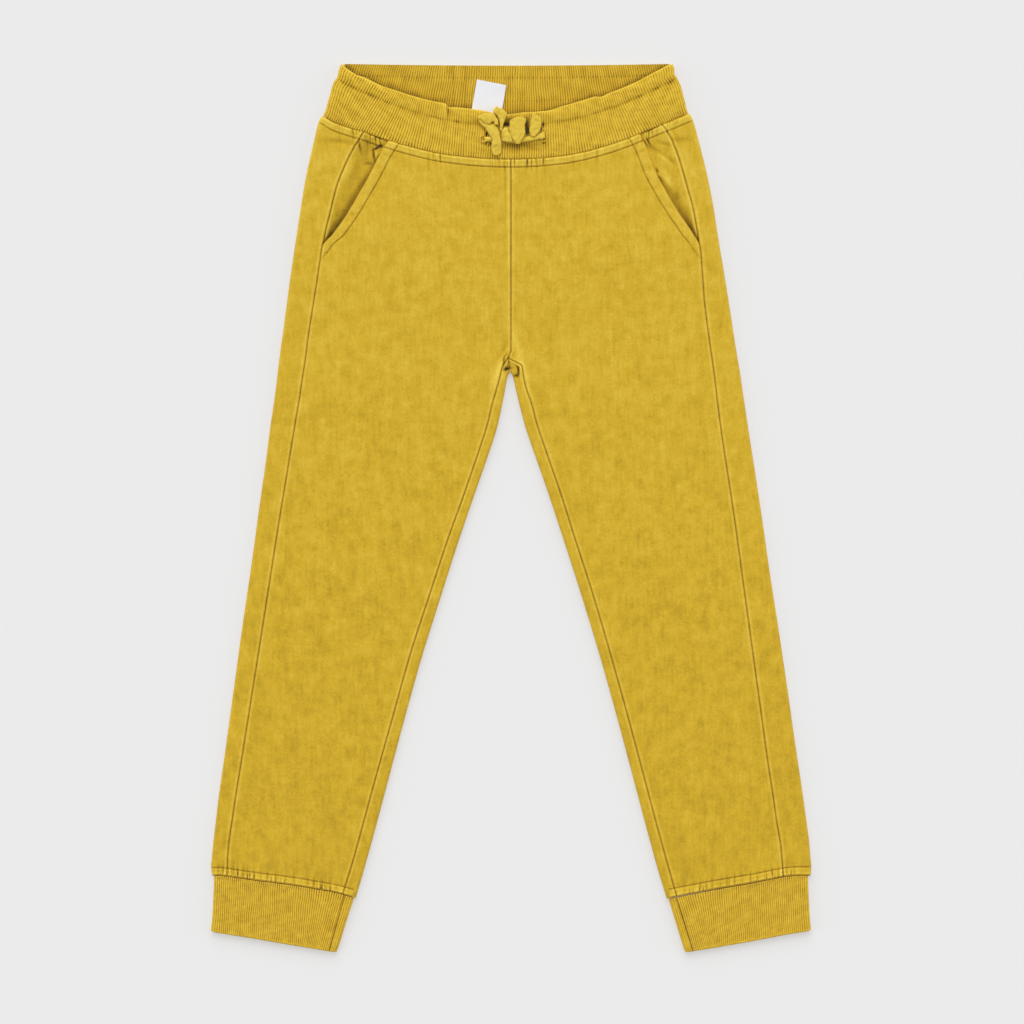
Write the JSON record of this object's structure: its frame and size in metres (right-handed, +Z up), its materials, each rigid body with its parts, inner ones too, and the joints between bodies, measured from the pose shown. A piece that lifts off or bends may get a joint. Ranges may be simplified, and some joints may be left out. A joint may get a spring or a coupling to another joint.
{
  "type": "tracksuit bottoms",
  "caption": "Child's mustard jersey tracksuit bottoms laid flat, front up, with ribbed waistband and cuffs, slanted pockets and a flat drawstring bow.",
  "frame": {"origin": "on the table, under the middle of the garment's box", "axes": "+Y along the garment from the cuffs to the waist, +Z up out of the garment's front, +X to the picture's right"},
  "size_m": [0.509, 0.753, 0.0124],
  "materials": {
    "jersey": "garment-dyed mustard sweatshirt jersey, matt, faintly mottled",
    "rib": "mustard rib knit, matt",
    "drawstring": "flat mustard jersey tape, raw edges",
    "label": "plain white satin tape"
  },
  "bodies": {
    "root": {"front_left": "jersey", "front_right": "jersey", "back_left": "jersey", "back_right": "jersey", "pocket_facing_left": "jersey", "pocket_facing_right": "jersey", "waistband": "rib", "cuff_left": "rib", "cuff_right": "rib", "tie_left_strand": "drawstring", "tie_right_strand": "drawstring", "tie_left_loop": "drawstring", "tie_up_tail": "drawstring", "tie_right_loop": "drawstring", "tie_middle_leaf": "drawstring", "tie_right_tail": "drawstring", "care_label": "label"}
  },
  "joints": []
}
